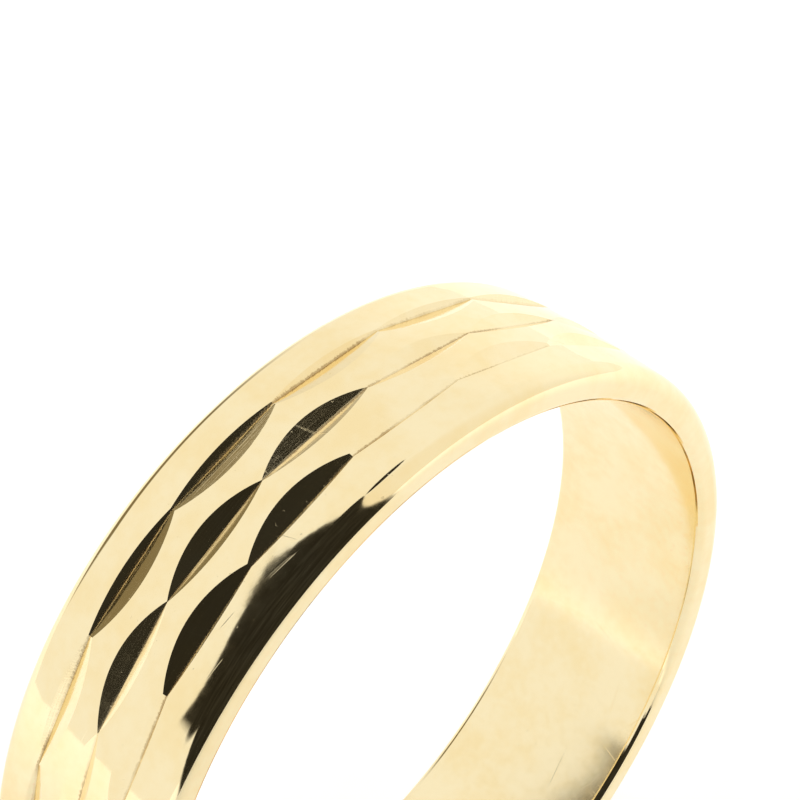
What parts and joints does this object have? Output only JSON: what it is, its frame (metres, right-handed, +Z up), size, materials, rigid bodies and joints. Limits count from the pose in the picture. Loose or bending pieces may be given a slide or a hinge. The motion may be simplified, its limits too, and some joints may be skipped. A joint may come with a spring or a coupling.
{
  "type": "wedding band",
  "caption": "Gold wedding band with soft shoulders, rows of diamond cuts round the outside, and a plain eased bore that slides onto a finger.",
  "frame": {"origin": "middle of the bore, half way across the width of the band", "axes": "+Y along the bore (the finger axis), away from the front edge of the band; +Z up, towards the top of the standing ring; the soldered joint is at the bottom, towards -Z"},
  "size_m": [0.0208, 0.005, 0.0208],
  "materials": {
    "gold": null,
    "gold_solder": null
  },
  "bodies": {
    "root": {"band_strip": "gold", "solder_seam": "gold_solder"}
  },
  "joints": []
}
